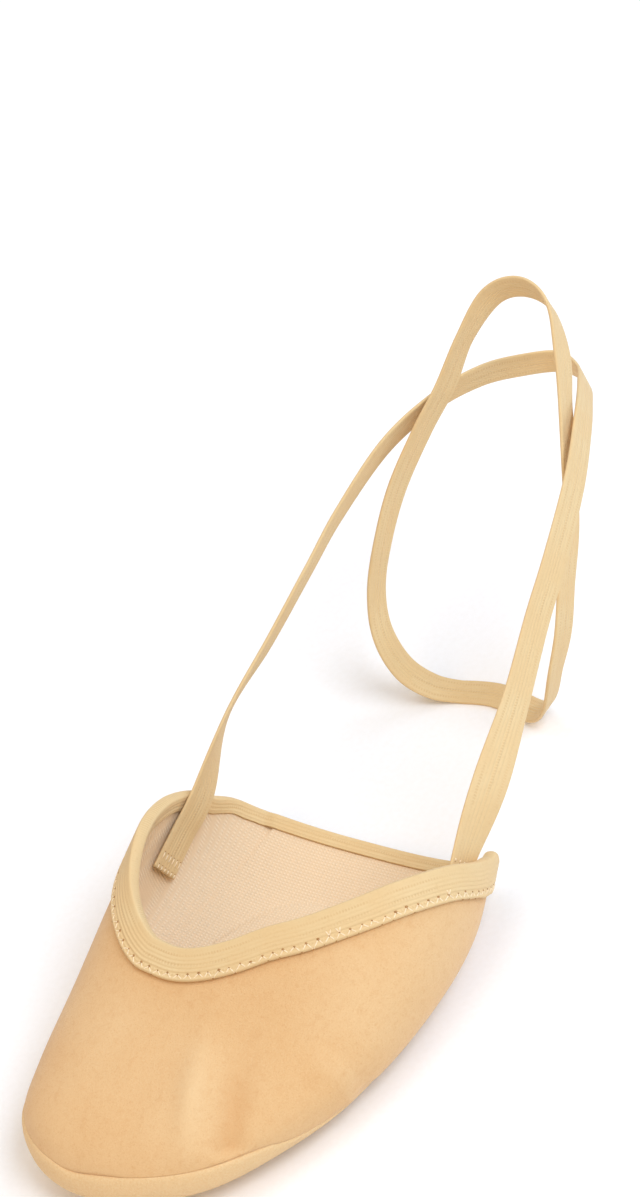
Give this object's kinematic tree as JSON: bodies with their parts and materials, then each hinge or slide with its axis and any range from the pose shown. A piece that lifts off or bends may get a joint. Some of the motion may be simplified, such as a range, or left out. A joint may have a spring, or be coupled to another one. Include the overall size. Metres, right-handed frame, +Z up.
{
  "type": "rhythmic gymnastics half shoe",
  "caption": "Soft toe-cap half shoe for rhythmic gymnastics, with a suede sole, an elastic-bound opening, an ankle strap and a loop around the heel.",
  "frame": {"origin": "on the floor, under the ball of the foot, in the middle of the sole's flat spot", "axes": "+X towards the toe, +Y towards the outer (little toe) side, +Z up; the shoe stands unbent on its sole and its heel loop"},
  "size_m": [0.2399, 0.0888, 0.0908],
  "materials": {
    "microfibre": "matte brushed microfibre suede with a short nap",
    "suede": "matte split suede",
    "lining": "matte knitted lining",
    "elastic": "soft woven elastic with fine lengthwise ribs"
  },
  "bodies": {
    "root": {"upper": "microfibre", "sole": "suede", "insole": "lining", "collar_binding": "elastic", "ankle_strap": "elastic", "heel_strap": "elastic"}
  },
  "joints": []
}
